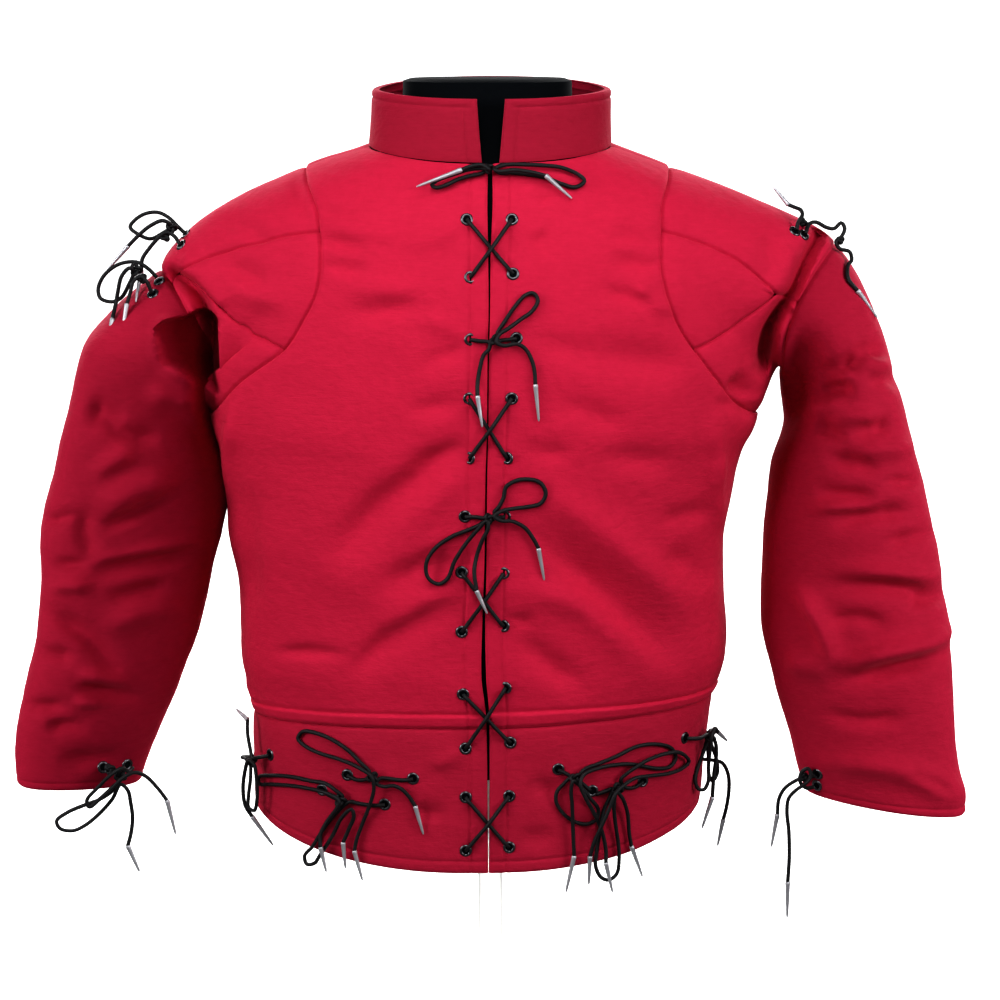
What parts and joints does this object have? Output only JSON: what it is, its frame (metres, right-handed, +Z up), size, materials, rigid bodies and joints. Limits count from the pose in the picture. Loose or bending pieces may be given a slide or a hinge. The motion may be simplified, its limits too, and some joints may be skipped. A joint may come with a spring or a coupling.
{
  "type": "arming doublet on a dress form and stand",
  "caption": "Red padded arming doublet with stand collar, shoulder gussets, full sleeves, laced front and points, worn by a limbless dress form on a pole and base.",
  "frame": {"origin": "middle of the base plate's underside, on the pole's axis", "axes": "+Z up along the pole, the doublet's front faces -Y, +X to the right seen from the front"},
  "size_m": [0.857, 0.33, 0.941],
  "materials": {
    "cloth": "matte crimson cotton twill",
    "form_cover": "matte black jersey",
    "pole_metal": "satin white",
    "base_metal": "satin white",
    "lace": "braided black cord with metal tips"
  },
  "bodies": {
    "root": {"front_left": "cloth", "front_right": "cloth", "waist_front_left": "cloth", "waist_front_right": "cloth", "back": "cloth", "waist_back": "cloth", "collar": "cloth", "gusset_left": "cloth", "gusset_right": "cloth", "shoulder_top_left": "cloth", "shoulder_top_right": "cloth", "underarm_left": "cloth", "underarm_right": "cloth", "sleeve_left": "cloth", "sleeve_right": "cloth", "form_torso": "form_cover", "stand_pole": "pole_metal", "stand_base": "base_metal", "lace_collar_left": "lace", "lace_collar_right": "lace", "lace_front_bow_2_left": "lace", "lace_front_bow_2_right": "lace", "lace_front_bow_3_left": "lace", "lace_front_bow_3_right": "lace", "lace_skirt_1_left": "lace", "lace_skirt_1_right": "lace", "lace_skirt_2_left": "lace", "lace_skirt_2_right": "lace", "lace_skirt_4_left": "lace", "lace_skirt_4_right": "lace", "lace_skirt_5_left": "lace", "lace_skirt_5_right": "lace", "lace_skirt_3_front": "lace", "lace_skirt_3_side": "lace", "lace_skirt_6_front": "lace", "lace_skirt_6_side": "lace", "lace_skirt_7_side": "lace", "lace_shoulder_1_upper": "lace", "lace_shoulder_1_lower": "lace", "lace_shoulder_2_upper": "lace", "lace_shoulder_2_lower": "lace", "lace_shoulder_3_upper": "lace", "lace_shoulder_3_lower": "lace", "lace_cuff_left_loop": "lace", "lace_cuff_left_end": "lace", "lace_cuff_right_short": "lace", "lace_cuff_right_long": "lace", "lace_cross_1_under": "lace", "lace_cross_1_over": "lace", "lace_cross_2_under": "lace", "lace_cross_2_over": "lace", "lace_cross_3_under": "lace", "lace_cross_3_over": "lace", "lace_cross_4_under": "lace", "lace_cross_4_over": "lace", "lace_cross_5_under": "lace", "lace_cross_5_over": "lace"}
  },
  "joints": []
}
